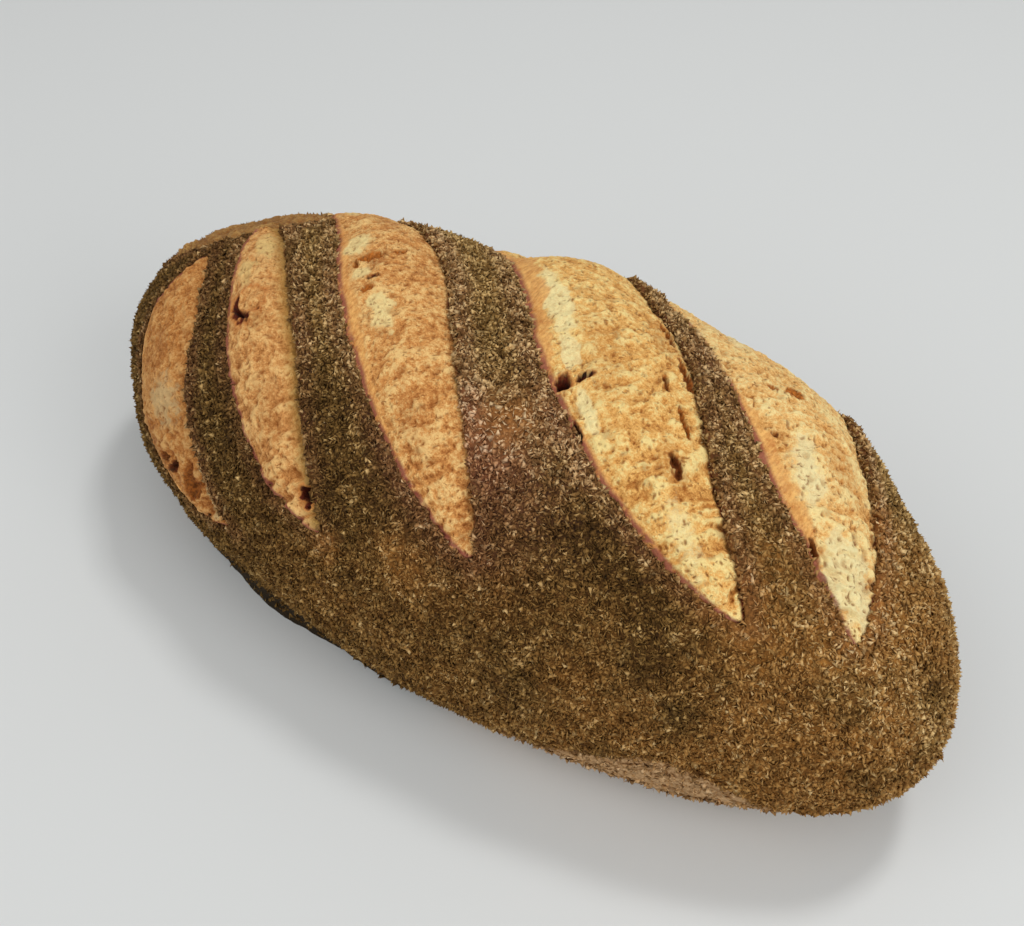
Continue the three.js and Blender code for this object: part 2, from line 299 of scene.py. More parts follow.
# Each row has the x and angle of the far and the near tip, the reach, peak and sharpness of the left
# and the right edge, the bulge of the bloom, and how deep it lies at its left and its right edge.
SLASHES = [
    Slash("first", (-101, 100), (-44, 173), (-42, 0.58, 1.7), (-8, 0.78, 3.5), 2.2, 1.2, 2.4),
    Slash("second", (-101, 82), (-9, 158), (-13, 0.63, 2.06), (10.3, 0.38, 1.12), 2.6, 1.2, 2.6),
    Slash("third", (-104, 35), (37, 146), (-14.8, 0.44, 1), (12, 0.55, 1.3), 3.2, 1.3, 2.8),
    Slash("fourth", (-64, 16), (102, 131), (-19.7, 0.55, 1.52), (16.2, 0.4, 1.05), 4.4, 1.5, 3),
    Slash("fifth", (16, 10), (124, 116), (-24.4, 0.22, 1.57), (27, 0.43, 1.05), 2.6, 1.4, 2.8),
    Slash("shoulder", (-78, 70), (-124, 108), (-22, 0.5, 1), (3.5, 0.5, 1), 1, 0.9, 1.4),
]
for slash in SLASHES:
    width = slash.edge("right", 0.5) - slash.edge("left", 0.5)
    print(f"slash {slash.name}: {slash.length:.0f} mm long, {float(width):.0f} mm wide")

# %% [markdown]
# ## Meshes from grids
# The crust and each bloom are grids of points, so one helper turns points and faces into a mesh.
# It also stores numbers for the materials on the points, such as how bare the crust is there, and
# a flat map of the faces for the bake of the finished model.

# %% Mesh helper
def make_piece(name, points, faces, corners, numbers):
    """A mesh object from points in mm, with a flat map and a value per point for each name."""
    mesh = bpy.data.meshes.new(name)
    mesh.from_pydata(((points - BASE_MIDDLE) * MM).tolist(), [], faces)
    for key, values in numbers.items():
        mesh.attributes.new(key, "FLOAT", "POINT").data.foreach_set("value", values.astype(np.float32))
    flat = mesh.uv_layers.new(name="OFBake")
    flat.data.foreach_set("uv", np.asarray(corners, np.float32).ravel())
    mesh.shade_smooth()
    piece = bpy.data.objects.new(name, mesh)
    bpy.context.collection.objects.link(piece)
    print(f"{name}: {len(points)} points, {sum(len(face) - 2 for face in faces)} triangles")
    return piece


def grid_faces(columns, rows, closed=False):
    """Quads between the points of a grid, and the place of each corner on a map from 0 to 1."""
    quads_around = rows if closed else rows - 1
    i, j = np.indices((columns - 1, quads_around)).reshape(2, -1)
    step = np.array([[0, 0], [0, 1], [1, 1], [1, 0]])
    column, row = i[:, None] + step[:, 0], j[:, None] + step[:, 1]
    corners = np.stack([column / (columns - 1), row / quads_around], -1)
    return (column * rows + row % rows).tolist(), corners.reshape(-1, 2)


# %% [markdown]
# ## The crust
# The crust is one closed skin of rings from tip to tip. The rings are spaced evenly over the
# surface, and closer around the part that shows. Where a ring passes an edge of a slash, its
# nearest point slides onto the edge, which keeps the lips clean. Inside a slash the skin drops
# into a pocket, and at the right edge it stands up a little, because the skin was torn loose there.

# %% Grid of the crust
CRUST_COLUMNS = 300
SEAM = -60
FINE_FROM, FINE_TO, FINE_STEP, COARSE_STEP = -46, 226, 0.95, 4.0
EDGE_REACH = 0.5


def ring_places(count):
    """Places along x that are evenly spaced over the surface."""
    t = np.linspace(0, np.pi, 4001)
    speed = np.hypot(LENGTH / 2 * np.sin(t), WIDTH / 2 * np.cos(t))
    walk = np.concatenate([[0], np.cumsum((speed[1:] + speed[:-1]) / 2)])
    even = np.interp(np.linspace(0, walk[-1], count + 2)[1:-1], walk, t)
    return -LENGTH / 2 * np.cos(even)


def ring_angles():
    """Angles around the loaf in degrees, close together where it shows."""
    fine = np.arange(FINE_FROM, FINE_TO, FINE_STEP)
    coarse = np.arange(FINE_TO, 360 + SEAM, COARSE_STEP)
    seam = np.arange(SEAM, FINE_FROM, COARSE_STEP)
    return np.concatenate([seam, fine, coarse])


def slide_to_edges(x, angle):
    """Move points that are close to an edge of a slash onto it."""
    for slash in SLASHES:
        for which in slash.edges:
            along, offset = slash.locate(x, angle)
            gap = slash.edge(which, along) - offset
            slides = (np.abs(gap) < EDGE_REACH) & (along > 0.01) & (along < 0.99)
            x, angle = slash.place(along, offset + np.where(slides, gap, 0))
    return x, angle


columns_x = ring_places(CRUST_COLUMNS)
crust_x, crust_angle = slide_to_edges(*np.meshgrid(columns_x, ring_angles(), indexing="ij"))
spacing = np.diff(columns_x)[CRUST_COLUMNS // 2]
print("crust grid:", crust_x.shape, "spacing near the middle", spacing.round(2), "mm")

# %% Crust form
POCKET = 4.5
LEFT_LIP = {"height": 0.2, "width": 2.2}
RIGHT_LIP = {"height": 0.5, "width": 3}
TORN_RIM = {"offset": 0.4, "width": 0.6}
GRAIN = ((4.0, 0.42), (1.8, 0.22))
BRAN_THICKNESS = 1.0
# Where the bare foot below the near left side lies, which is painted dark as the shade under the belly
UNDER_STARTS, UNDER_STOPS = (-108, -80), (8, 34)
UNDER_TOP, UNDER_BOTTOM = (204, 212), (262, 275)


def slash_relief(x, angle):
    """The height of the skin, how deep inside a slash it is, and the bare rim at the right edge."""
    height, inside, rim = np.zeros_like(x), np.full_like(x, -50.0), np.zeros_like(x)
    for slash in SLASHES:
        along, offset = slash.locate(x, angle)
        left, right = slash.edge("left", along), slash.edge("right", along)
        past_tips = np.maximum(-along, along - 1) * slash.length
        depth = np.minimum(np.minimum(offset - left, right - offset), -past_tips)
        lip = LEFT_LIP["height"] * bell(left - offset, LEFT_LIP["width"])
        lip = lip + RIGHT_LIP["height"] * bell(offset - right, RIGHT_LIP["width"])
        height += np.where(depth < 0.05, lip * bell(np.maximum(past_tips, 0), 3), 0)
        inside = np.maximum(inside, depth)
        torn_rim = bell(offset - right - TORN_RIM["offset"], TORN_RIM["width"])
        rim = np.maximum(rim, torn_rim * smooth_step(-past_tips, 2, 8))
    return height - POCKET * smooth_step(inside, 0.05, 0.9), inside, rim


def under_belly(x, angle):
    """1 on the bare foot below the near left side, which is painted dark as shade, 0 elsewhere."""
    stretch = smooth_step(x, *UNDER_STARTS) * (1 - smooth_step(x, *UNDER_STOPS))
    return stretch * smooth_step(angle, *UNDER_TOP) * (1 - smooth_step(angle, *UNDER_BOTTOM))


crust_height, crust_inside, crust_rim = slash_relief(crust_x, crust_angle)
crust_height -= BRAN_THICKNESS * (2 - end_fade(crust_x)) * (1 - under_belly(crust_x, crust_angle))
skin = hull(crust_x, crust_angle)
for size, height in GRAIN:
    crust_height += height * value_noise(skin, size, int(size * 10)) * end_fade(crust_x)
skin = crust_points(crust_x, crust_angle, crust_height)
skin[..., 2] = np.maximum(skin[..., 2], 0)
print("crust from", skin.reshape(-1, 3).min(0).round(1), "to", skin.reshape(-1, 3).max(0).round(1), "mm")

# %% [markdown]
# ## Where the crust changes
# Bran covers the crust nearly everywhere. It is missing inside the slashes, on the pale strip along
# the foot at the right, where the dough stood on its stone, and on the foot below the near left
# side, whose colour is painted nearly black as the shade under the belly. The crust under the bran
# turns from dark brown to golden toward the right end and low on the near side, with a few brighter
# glows around the tips of the slashes, and between the third and the fourth slash it has a plum
# tinge. The top of the right half and the right end are painted paler, as the light that falls
# there, and the torn rim at the right edge of each slash is a thinly covered red brown. Seven
# numbers on each point carry this to the materials and to the bran.

# %% Zones of the crust
# Each pair of numbers says where a zone fades in or out, in mm along x, in degrees around the loaf,
# in mm to the right of the line between the tips of the fourth slash, or as a share along it.
FOOT = {"level": 6, "rise": 28, "middle": 96, "width": 42}
FOOT_FADE, FOOT_NEAR = (-1.5, 1.5), (120, 170)
GOLDEN_END, GOLDEN_NEAR, GOLDEN_ALONG = (60, 140), (130, 165), (-90, 40)
PLUM = {"x": 30, "angle": 128, "stretch": 1.2, "radius": 17}
# The pale zone is painted light: the top of the right half and the right end are made paler where the light
# falls
PALE_OFFSET, PALE_ALONG, PALE_AROUND = (-105, -50), (0.75, 1.05), (112, 136)
PALE_END = {"x": 138, "angle": 115, "radius": 26}
COVER_EDGE, COVER_BASE = (-0.9, -0.3), (2, 3)
GLOWS = [
    {"x": 27, "angle": 117, "radius": 8, "golden": 1.4, "bare": 0.7},
    {"x": 18, "angle": 155, "radius": 6, "golden": 1.1, "bare": 0.3},
    {"x": -7, "angle": 161, "radius": 5, "golden": 1.1, "bare": 0.5},
    {"x": 102, "angle": 132, "radius": 9, "golden": 1.2, "bare": 0.6},
    {"x": 124, "angle": 97, "radius": 9, "golden": 1.0, "bare": 0.4},
    {"x": 126, "angle": 118, "radius": 9, "golden": 0.9, "bare": 0.5},
    {"x": 108, "angle": 50, "radius": 20, "golden": -0.8, "bare": 0.0},
]


def crust_zones(points, x, angle, inside, rim):
    """A number from 0 to 1 on each point for each zone, its edges moved about by noise."""
    drift = value_noise(points, 14, 5) + 0.5 * value_noise(points, 5, 6)
    # The bare foot under the near left belly, which the crust material paints dark as its shade
    under = under_belly(x, angle + 3 * drift)
    near = smooth_step(angle, *FOOT_NEAR)
    edge = FOOT["level"] + FOOT["rise"] * bell(x - FOOT["middle"], FOOT["width"]) * near
    foot = smooth_step(edge + 1.5 * drift - points[..., 2], *FOOT_FADE) * (1 - under)
    golden = 0.5 * smooth_step(angle, *GOLDEN_NEAR) * smooth_step(x, *GOLDEN_ALONG)
    golden = 0.85 * smooth_step(x, *GOLDEN_END) + golden
    bare = 0
    for glow in GLOWS:
        share = spot_share(x, angle, glow)
        golden, bare = golden + glow["golden"] * share, bare + glow["bare"] * share
    golden = np.clip(golden * (1 + 0.9 * drift), 0, 1) * (1 - under)
    plum = bell(np.hypot((x - PLUM["x"]) / PLUM["stretch"], angle - PLUM["angle"]), PLUM["radius"])
    plum = np.clip((0.9 * plum + 0.3 * bell(inside + 2, 3)) * (1 + 0.6 * drift), 0, 1)
    # Painted light: the top of the right half and the right end are made paler, as the light falls there
    along, offset = SLASHES[3].locate(x, angle)
    pale = smooth_step(offset, *PALE_OFFSET) * (1 - smooth_step(along, *PALE_ALONG))
    pale = pale * (1 - smooth_step(angle, *PALE_AROUND)) + 0.9 * spot_share(x, angle, PALE_END)
    rim = rim * np.clip(1 + value_noise(points, 4, 8), 0, 1)
    cover = (1 - 0.85 * foot) * smooth_step(-inside, *COVER_EDGE)
    cover = cover * smooth_step(points[..., 2], *COVER_BASE)
    cover = cover * np.clip(1 - bare * (1 + drift), 0, 1) * (1 - 0.9 * under) * (1 - 0.5 * rim)
    names = ("cover", "foot", "golden", "plum", "pale", "under", "rim")
    return dict(zip(names, (cover, foot, golden, plum, pale, under, rim)))


zones = crust_zones(skin, crust_x, crust_angle, crust_inside, crust_rim)
for name, values in zones.items():
    print(f"{name}: {100 * values.mean():.0f}% of the points")

# %% Crust mesh
# A fan of triangles closes each tip, around one more point
rings, around = skin.shape[:2]
faces, corners = grid_faces(rings, around, closed=True)
left_tip, last_ring = rings * around, (rings - 1) * around
for j in range(around):
    after = (j + 1) % around
    faces.append((left_tip, after, j))
    faces.append((left_tip + 1, last_ring + j, last_ring + after))
corners = np.vstack([corners, np.zeros((2 * around * 3, 2))])
tips = [[-LENGTH / 2, 0, WIDEST_LEVEL], [LENGTH / 2, 0, WIDEST_LEVEL]]
for name, values in zones.items():
    zones[name] = np.append(values.ravel(), [values[0].mean(), values[-1].mean()])
crust = make_piece("crust", np.vstack([skin.reshape(-1, 3), tips]), faces, corners, zones)

# %% [markdown]
# ## Shader maths
# Each finish below is written as a small sum of masks and noises. A class wraps the output of a
# shader node, so that plus, minus and times in Python add the Math nodes, and one method adds any
# other node from its type, its settings and its inputs. Two textures have methods of their own:
# noise, and stretched cells, which make the short dark strokes that a pulled crumb has.


# %% Sums of shader values
class Value:
    """The output of a shader node, for sums in plain Python."""

    def __init__(self, finish, socket):
        self.finish, self.socket = finish, socket

    def math(self, operation, first, second, clamp=False):
        settings = {"operation": operation, "use_clamp": clamp}
        return self.finish.add("ShaderNodeMath", settings, (first, second))

    def __add__(self, other):
        return self.math("ADD", self, other)

    def __sub__(self, other):
        return self.math("SUBTRACT", self, other)

    def __rsub__(self, other):
        return self.math("SUBTRACT", other, self)

    def __mul__(self, other):
        return self.math("MULTIPLY", self, other)

    __radd__, __rmul__ = __add__, __mul__

    def clamped(self):
        return self.math("ADD", self, 0.0, clamp=True)

    def step(self, low, high):
        """A smooth rise from 0 at low to 1 at high."""
        settings = {"interpolation_type": "SMOOTHSTEP"}
        inputs = {"Value": self, "From Min": low, "From Max": high}
        return self.finish.add("ShaderNodeMapRange", settings, inputs)


# %% Finishes
BENDS_PER_CELL = 1.4
STROKE_TURN = math.radians(40)


class Finish:
    """One material while it is being made."""

    def __init__(self, name):
        self.material = bpy.data.materials.new(name)
        self.material.use_nodes = True
        self.tree = self.material.node_tree
        self.tree.nodes.clear()

    def add(self, kind, settings=None, inputs=(), output=0):
        """A node with its settings and the values or links of its inputs, as a value of one output."""
        node = self.tree.nodes.new(kind)
        for key, value in (settings or {}).items():
            if key == "stops":
                self.set_stops(node.color_ramp, value)
            else:
                setattr(node, key, value)
        for key, value in inputs.items() if isinstance(inputs, dict) else enumerate(inputs):
            if isinstance(value, Value):
                self.tree.links.new(value.socket, node.inputs[key])
            else:
                node.inputs[key].default_value = value
        return Value(self, node.outputs[output]) if node.outputs else None

    @staticmethod
    def set_stops(ramp, stops):
        while len(ramp.elements) < len(stops):
            ramp.elements.new(1.0)
        for element, (place, colour) in zip(ramp.elements, stops):
            element.position, element.color = place, colour

    def number(self, name):
        """A number that is stored on the points of the mesh."""
        return self.add("ShaderNodeAttribute", {"attribute_name": name}, output=2)

    def noise(self, size, detail=2.0, stretch=None):
        """Noise from 0 to 1 with bumps about size mm wide, on Object coordinates."""
        place = self.add("ShaderNodeTexCoord", output="Object")
        if stretch:
            place = self.add("ShaderNodeMapping", inputs={"Vector": place, "Scale": stretch})
        inputs = {"Vector": place, "Scale": 1 / (size * MM), "Detail": detail, "Roughness": 0.6}
        return self.add("ShaderNodeTexNoise", inputs=inputs)

    def cells(self, size, stretch):
        """The distance to the nearest of many points about size mm apart, stretched across a slash."""
        place = self.add("ShaderNodeTexCoord", output="Object")
        bends = {"Vector": place, "Scale": BENDS_PER_CELL / (size * MM)}
        bend = self.add("ShaderNodeTexNoise", inputs=bends, output=1)
        bent = {0: bend, 1: (size * MM,) * 3, 2: place}
        place = self.add("ShaderNodeVectorMath", {"operation": "MULTIPLY_ADD"}, bent)
        turned = {"Vector": place, "Rotation": (0, 0, STROKE_TURN), "Scale": (stretch, 1, 1)}
        place = self.add("ShaderNodeMapping", {"vector_type": "TEXTURE"}, turned)
        return self.add("ShaderNodeTexVoronoi", inputs={"Vector": place, "Scale": 1 / (size * MM)})

    def mix(self, share, first, second):
        """A colour between two colours."""
        return self.add("ShaderNodeMix", {"data_type": "RGBA"}, {0: share, 6: first, 7: second}, output=2)

    def ramp(self, share, stops):
        return self.add("ShaderNodeValToRGB", {"stops": stops}, (share,))

    def bump(self, height, distance, strength):
        """A normal that tilts as a relief of distance mm would."""
        inputs = {"Height": height, "Distance": distance * MM, "Strength": strength}
        return self.add("ShaderNodeBump", inputs=inputs)

    def surface(self, colour, roughness, shine, normal=None):
        """The finished material, with shine as its level of specular light."""
        inputs = {"Base Color": colour, "Roughness": roughness, "Specular IOR Level": shine}
        if normal:
            inputs["Normal"] = normal
        shader = self.add("ShaderNodeBsdfPrincipled", inputs=inputs)
        self.add("ShaderNodeOutputMaterial", inputs={"Surface": shader})
        return self.material


def tint(red, green, blue):
    """A colour from 0 to 255 as a screen shows it, as the linear light that shaders take."""
    screen = (value / 255 for value in (red, green, blue))
    linear = (v / 12.92 if v <= 0.04045 else ((v + 0.055) / 1.055) ** 2.4 for v in screen)
    return (*linear, 1.0)


# %% [markdown]
# ## The baked crust under the bran
# Between the flakes the skin of the loaf shows: nearly black in the bands, brown lower down and
# golden at the right end. Noise at the size of the flakes breaks it up, so that small gaps in the
# coat look like more bran. The foot at the right is a dusty tan, the one at the left lies bare and
# is painted dark as the shade under the belly, and the torn rims are a dull red brown.

# %% Crust material
CRUST_DARK, CRUST_BROWN, CRUST_TAN = tint(30, 18, 6), tint(70, 46, 18), tint(120, 88, 46)
GOLDEN_DARK, GOLDEN_LIGHT = tint(90, 54, 18), tint(186, 128, 58)
PLUM_DARK, PLUM_LIGHT = tint(66, 32, 20), tint(146, 92, 66)
FOOT_DARK, FOOT_LIGHT = tint(126, 88, 50), tint(206, 168, 122)
RIM_DARK, RIM_LIGHT = tint(84, 40, 20), tint(164, 102, 58)
# Painted shade: the nearly black of the bare foot under the near left belly
PAINTED_UNDER_SHADE = tint(34, 25, 8)


def crust_finish():
    finish = Finish("crust")
    fine, coarse = finish.noise(1.1, 3.0), finish.noise(6, 3.0)
    # The pale zone lifts the tone a little: painted light
    tone = (fine * 0.8 + coarse * 0.35 + finish.number("pale") * 0.08 - 0.1).clamped()
    brown = finish.ramp(tone, [(0.3, CRUST_DARK), (0.52, CRUST_BROWN), (0.72, CRUST_TAN)])
    gold = finish.ramp(tone, [(0.3, GOLDEN_DARK), (0.7, GOLDEN_LIGHT)])
    plum = finish.ramp(tone, [(0.3, PLUM_DARK), (0.7, PLUM_LIGHT)])
    foot = finish.ramp(tone, [(0.3, FOOT_DARK), (0.65, FOOT_LIGHT)])
    colour = finish.mix(finish.number("golden") * 0.8, brown, gold)
    colour = finish.mix(finish.number("plum") * 0.7, colour, plum)
    colour = finish.mix(finish.number("foot"), colour, foot)
    rim = finish.ramp(tone, [(0.3, RIM_DARK), (0.65, RIM_LIGHT)])
    colour = finish.mix(finish.number("rim") * 0.6, colour, rim)
    # Painted shade: the bare foot under the near left belly is darkened nearly to black
    colour = finish.mix(finish.number("under") * 0.85, colour, PAINTED_UNDER_SHADE)
    normal = finish.bump(fine + coarse * 0.5, 0.7, 0.8)
    return finish.surface(colour, 0.85, 0.15, normal)


crust.data.materials.append(crust_finish())
print("crust material:", len(crust.data.materials[0].node_tree.nodes), "nodes")

# %% [markdown]
# ## The blooms
# The crumb that swelled out of each slash is a soft pillow. Along the left edge runs a smooth
# orange skin that stretched first, then the crumb turns pale and rough, and at the right it sinks
# under the lifted lip of the crust. Each bloom is a grid between the two edges, a little wider
# than the slash. Tears, cream and scorched patches and the orange skin are short tables, one row
# for each that the loaf shows, and noise makes their outlines ragged.

# %% What each bloom shows
# A row of tears or patches starts with its place as shares along and across the bloom, and half its
# length and half its width in mm. A tear ends with its depth in mm, a patch with its strength. The
# orange skin has rows of where it starts, where it stops and how wide it gets.
TEARS = {
    "first": [(0.749, 0.4, 1.5, 2.6, 2), (0.786, 0.45, 1.5, 3.2, 2.4), (0.853, 0.6, 4.8, 3.4, 1.7)],
    "second": [(0.41, 0.36, 5.4, 4.6, 3.4), (0.92, 0.74, 3, 1.3, 3.5), (0.07, 0.5, 1.4, 0.9, 1)],
    "third": [
        (0.45, 0.35, 1.7, 3, 1.2), (0.504, 0.34, 0.9, 1.5, 2.4), (0.527, 0.28, 1.3, 2.3, 0.9),
        (0.447, 0.62, 0.9, 1.8, 1.2), (0.458, 0.2, 2, 0.7, 1.2),
    ],
    "fourth": [
        (0.638, 0.08, 2.2, 1.7, 4), (0.645, 0.23, 1.1, 1.9, 3), (0.715, 0.02, 3.4, 0.9, 3),
        (0.586, 0.92, 6, 1, 1.6), (0.665, 0.93, 6, 1, 1.6), (0.682, 0.755, 2.4, 0.5, 1.6),
        (0.742, 0.82, 5, 0.6, 1.3), (0.8, 0.64, 3.4, 1.1, 2),
    ],
    "fifth": [
        (0.547, 0.44, 2.7, 3.2, 0.4), (0.552, 0.28, 1.3, 1.5, 0.4), (0.66, 0.14, 0.8, 0.9, 2),
        (0.855, 0.08, 3, 0.9, 2),
    ],
    "shoulder": [],
}
CREAM_PATCHES = {
    "first": [(0.58, 0.66, 10, 8, 0.6), (0.9, 0.88, 8, 2, 0.9)],
    "second": [(0.2, 0.62, 12, 4, 0.7), (0.3, 0.3, 8, 3, 0.6)],
    "third": [
        (0.4, 0.2, 6, 5, 1), (0.484, 0.24, 3.5, 3, 0.7), (0.575, 0.36, 9, 3.4, 1), (0.2, 0.3, 7, 3, 0.5),
    ],
    "fourth": [
        (0.5, 0.2, 20, 3.4, 0.8), (0.6, 0.2, 5, 2.6, 1), (0.7, 0.15, 10, 2, 0.7), (0.88, 0.4, 14, 4, 0.5),
    ],
    "fifth": [(0.72, 0.3, 14, 4.5, 0.7), (0.9, 0.5, 15, 9, 1), (0.35, 0.3, 16, 5, 0.5)],
    "shoulder": [],
}
ORANGE_SKIN = {
    "first": [(0.2, 0.62, 5.0), (0.62, 1.0, 4.0)],
    "second": [(0.1, 0.5, 1.4)],
    "third": [(0.05, 0.4, 2.0), (0.3, 0.85, 3.6)],
    "fourth": [(0.1, 0.64, 5.6), (0.64, 0.97, 1.6)],
    "fifth": [(0.05, 0.4, 2.0), (0.55, 0.88, 5.0)],
    "shoulder": [],
}
SCORCHED = {
    "first": [(0.72, 0.3, 12, 4, 0.6), (0.4, 0.6, 9, 3, 0.5)],
    "second": [(0.47, 0.55, 5, 3.4, 0.7), (0.7, 0.5, 12, 4, 0.4)],
    "third": [(0.47, 0.38, 3, 2.4, 0.9), (0.3, 0.6, 14, 5, 0.5), (0.78, 0.4, 12, 4, 0.4)],
    "fourth": [
        (0.36, 0.6, 12, 7, 0.5), (0.62, 0.4, 16, 6, 0.4), (0.6, 0.85, 10, 4, 0.7), (0.8, 0.62, 8, 3, 0.6),
    ],
    "fifth": [(0.3, 0.7, 9, 4, 0.4), (0.7, 0.66, 10, 6, 0.6)],
    "shoulder": [],
}


# %% Marks on a bloom
# A flap of crumb covers part of one tear. Its place is in half lengths and half widths of the tear.
FLAP = {"slash": "second", "row": 0, "along": -0.2, "across": 0.45}
PORE_TABLE = 128


def marks(slash, along, offset, rows, ragged):
    """How far each point is from each ragged oval, 1 at its rim, and the last column of its row."""
    for row, (place, share, half_length, half_width, strength) in enumerate(rows):
        left, right = slash.edge("left", place), slash.edge("right", place)
        middle = left + share * (right - left)
        p, q = (along - place) * slash.length / half_length, (offset - middle) / half_width
        distance = np.hypot(p, q) + ragged
        if rows is TEARS[FLAP["slash"]] and row == FLAP["row"]:
            flap = np.hypot(p - FLAP["along"], q - FLAP["across"])
            distance = np.maximum(distance, 1 + 3 * (1 - flap))
        yield distance, strength


def patches(slash, along, offset, rows, ragged):
    """The strongest of the patches at each point."""
    total = np.zeros_like(along)
    for distance, strength in marks(slash, along, offset, rows, ragged):
        total = np.maximum(total, strength * (1 - smooth_step(distance, 0.4, 1.3)))
    return total


def pores(p_mm, q_mm, cell, share, seed):
    """Pits on a jittered lattice of cells: 1 at the bottom of a pit, 0 outside."""
    rng = np.random.default_rng(seed)
    table = (PORE_TABLE, PORE_TABLE)
    jitter, size = rng.uniform(0.1, 0.9, (*table, 2)), rng.uniform(0, 1, table)
    squeeze = rng.uniform(-0.5, 0.5, table)
    i, j = np.floor(p_mm / cell).astype(int), np.floor(q_mm / cell).astype(int)
    deepest = np.zeros_like(p_mm)
    for di, dj in np.ndindex(3, 3):
        a, b = i + di - 1, j + dj - 1
        drawn = a % PORE_TABLE, b % PORE_TABLE
        middle, long = jitter[drawn], squeeze[drawn]
        kept = np.maximum(size[drawn] - (1 - share), 0) / share
        p, q = p_mm / cell - a - middle[..., 0], q_mm / cell - b - middle[..., 1]
        distance = np.hypot(p * (1 + long), q * (1 - long)) / (0.1 + 0.26 * kept)
        deepest = np.maximum(deepest, np.where(kept > 0, 1 - smooth_step(distance, 0.3, 1.2), 0))
    return deepest


# %% [markdown]
# ## Relief of a bloom
# The relief adds up from large to small: the pillow itself, broad swellings, the rough crumb,
# wrinkles that run across the slash because the crumb was pulled that way, small pits, and last
# the tears with their raised rims. The orange skin stays nearly smooth, and the wrinkles of the
# third bloom are weaker than those of the others.


# %% Bloom relief
BLOOM_STEP = 0.34
UNDER_LIP = 0.9
ROUGH_SIZES = (0.9, 1.7, 3.4, 9)
WRINKLE_SIZE, WRINKLE_STRETCH = 1.5, 0.28
WRINKLED = {"third": 0.5}
PITS, HOLES = (1.8, 0.45), (4.2, 0.28)
NARROWEST_SKIN = 0.8


def bloom_grid(slash):
    """Shares along and across a bloom, for points about a step apart."""
    ends = np.linspace(0, 1, 99)
    widest = float(np.max(slash.edge("right", ends) - slash.edge("left", ends)))
    rows_along = max(int(slash.length / BLOOM_STEP), 40)
    rows_across = max(int(widest / BLOOM_STEP), 20)
    t = np.linspace(0, np.pi, rows_along)
    along = 0.5 - 0.4975 * np.cos(t)
    return np.meshgrid(along, np.linspace(0, 1, rows_across), indexing="ij")


def stretched_skin(slash, along, from_left, wobble):
    """1 on the orange skin at the left edge of a bloom, 0 on the crumb."""
    width = np.full_like(along, NARROWEST_SKIN)
    for start, stop, widest in ORANGE_SKIN[slash.name]:
        share = np.clip((along - start) / (stop - start), 0, 1)
        width += widest * np.sin(np.pi * share) ** 0.6
    return 1 - smooth_step(from_left - width * (1 + 0.35 * wobble), -0.3, 0.5)


def torn_places(slash, along, offset, ragged):
    """How far the tears raise or lower a bloom, and where it is torn, burnt and deep."""
    lift, torn, burnt, deep = np.zeros((4, *along.shape))
    for distance, depth in marks(slash, along, offset, TEARS[slash.name], ragged):
        lift += 0.4 * bell(distance - 1.3, 0.25) - depth * (1 - smooth_step(distance, 0.55, 1))
        torn = np.maximum(torn, 1 - smooth_step(distance, 0.98, 1.14))
        burnt = np.maximum(burnt, bell(distance - 1.1, 0.3) * smooth_step(depth, 1, 4))
        deep = np.maximum(deep, (distance < 1.3) * smooth_step(depth, 1, 2.8))
    return lift, torn, burnt, deep


def bloom_surface(slash):
    """The grid of a bloom, with the numbers that its material reads."""
    along, across = bloom_grid(slash)
    left, right = slash.edge("left", along) - UNDER_LIP, slash.edge("right", along) + UNDER_LIP
    offset = left + (right - left) * across
    x, angle = slash.place(along, offset)
    base = hull(x, angle)
    p_mm = along * slash.length
    fine, small, middle, broad = (value_noise(base, size, slash.seed + 3) for size in ROUGH_SIZES)
    pulled = np.stack([p_mm, offset * WRINKLE_STRETCH, offset * 0], -1) + 1.2 * middle[..., None]
    wrinkle = WRINKLED.get(slash.name, 1) * value_noise(pulled, WRINKLE_SIZE, slash.seed)
    p_bent, q_bent = p_mm + 0.7 * small, offset + 0.7 * middle
    pits = pores(p_bent, q_bent, *PITS, slash.seed)
    holes = pores(p_bent, q_bent, *HOLES, slash.seed + 1)
    ragged = 0.3 * middle + 0.25 * small

    skin = stretched_skin(slash, along, offset - left, middle)
    pillow = np.sin(np.pi * across**0.85) * np.sin(np.pi * np.clip(along, 0.001, 0.999)) ** 0.5
    rim = slash.drop + (slash.dip - slash.drop) * across**2
    pull = 0.75 * smooth_step(along, 0.35, 0.8) + 0.5 * smooth_step(along, 0.75, 0.95)
    rough = 0.3 * middle + 0.32 * small + 0.3 * fine + pull * wrinkle
    height = slash.bulge * pillow - rim + 0.5 * broad + (1 - 0.75 * skin) * rough
    height -= (1 - skin) * (0.42 * pits + 0.5 * holes)
    lift, torn, burnt, deep = torn_places(slash, along, offset, 0.8 * ragged + 0.3 * fine)
    numbers = {
        "from_left": offset - left,
        "from_right": right - offset,
        # The material paints the pits brown as their shade
        "pits": np.clip(pits + 0.5 * holes, 0, 1),
        "torn": torn,
        "burnt": burnt,
        "deep": deep,
        "cream": patches(slash, along, offset, CREAM_PATCHES[slash.name], ragged),
        "scorch": patches(slash, along, offset, SCORCHED[slash.name], ragged),
        "skin": skin,
        # Painted shade: the valleys of the rough crumb, which the material browns
        "valley": np.clip(0.5 - 0.7 * rough, 0, 1),
    }
    return crust_points(x, angle, height + lift), (x, angle), numbers


# %% Bloom meshes
ROOT = 7.0


